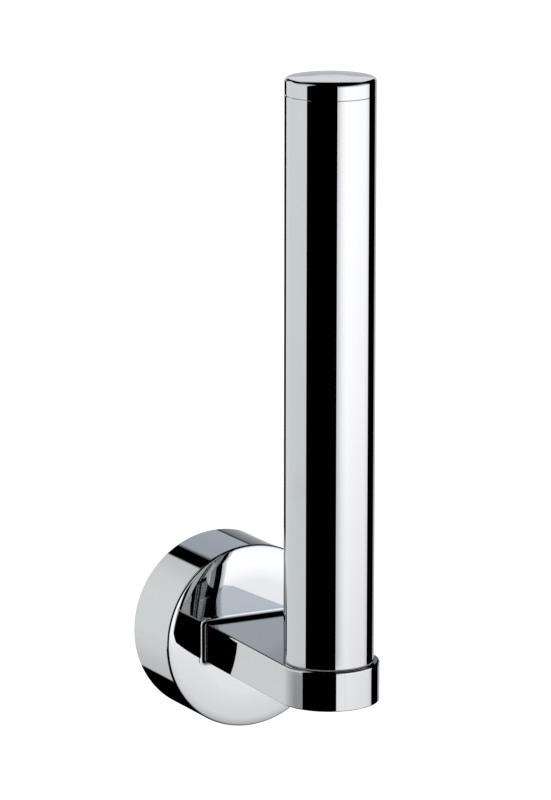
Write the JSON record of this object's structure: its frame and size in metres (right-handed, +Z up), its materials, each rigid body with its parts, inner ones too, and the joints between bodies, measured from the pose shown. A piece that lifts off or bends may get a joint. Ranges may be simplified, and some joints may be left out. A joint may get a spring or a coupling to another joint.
{
  "type": "toilet roll storage holder",
  "caption": "Chrome wall holder for spare toilet rolls: a round rosette, a short flat arm with a round collar, and a tall upright tube with a flat cap.",
  "frame": {"origin": "centre of the round rosette's back, on the wall plane Y = 0", "axes": "+Z up along the post tube, +Y into the wall, -Y out to the front, +X to the right seen from the front"},
  "size_m": [0.0698, 0.1071, 0.2546],
  "materials": {
    "polished_chrome": "mirror polished chrome plate",
    "cast_zinc": "die-cast zinc, as cast",
    "turned_brass": "turned brass",
    "plated_steel": "zinc plated steel",
    "bright_steel": "ground steel",
    "stainless_steel": "stainless steel",
    "seal_rubber": "moulded rubber",
    "grey_nylon": "moulded nylon",
    "clear_nylon": "moulded nylon",
    "foam_pad": "cut foam sheet"
  },
  "bodies": {
    "wall_bracket": {"wall_pad": "foam_pad", "wall_plate": "cast_zinc"},
    "holder": {"rosette_cover": "polished_chrome", "clamp_ring": "turned_brass", "arm_backing_plate": "plated_steel", "arm_washers": "plated_steel", "arm_screws": "plated_steel", "arm": "polished_chrome", "tube_seat_ring": "clear_nylon", "post_tube": "polished_chrome", "foot_plug": "turned_brass", "turn_stop_pin": "bright_steel", "post_screw": "plated_steel", "spring_washer": "plated_steel", "underside_cover": "grey_nylon", "end_cap": "polished_chrome", "cap_seal_ring": "seal_rubber"},
    "set_screw": {"set_screw": "stainless_steel"}
  },
  "joints": [
    {"name": "holder_lift_off", "type": "slide", "parent": "wall_bracket", "child": "holder", "axis": [0, -1, 0], "range_m": [0, 0.02]},
    {"name": "set_screw_travel", "type": "slide", "parent": "holder", "child": "set_screw", "axis": [0, 0, -1], "range_m": [0, 0.0025]}
  ]
}
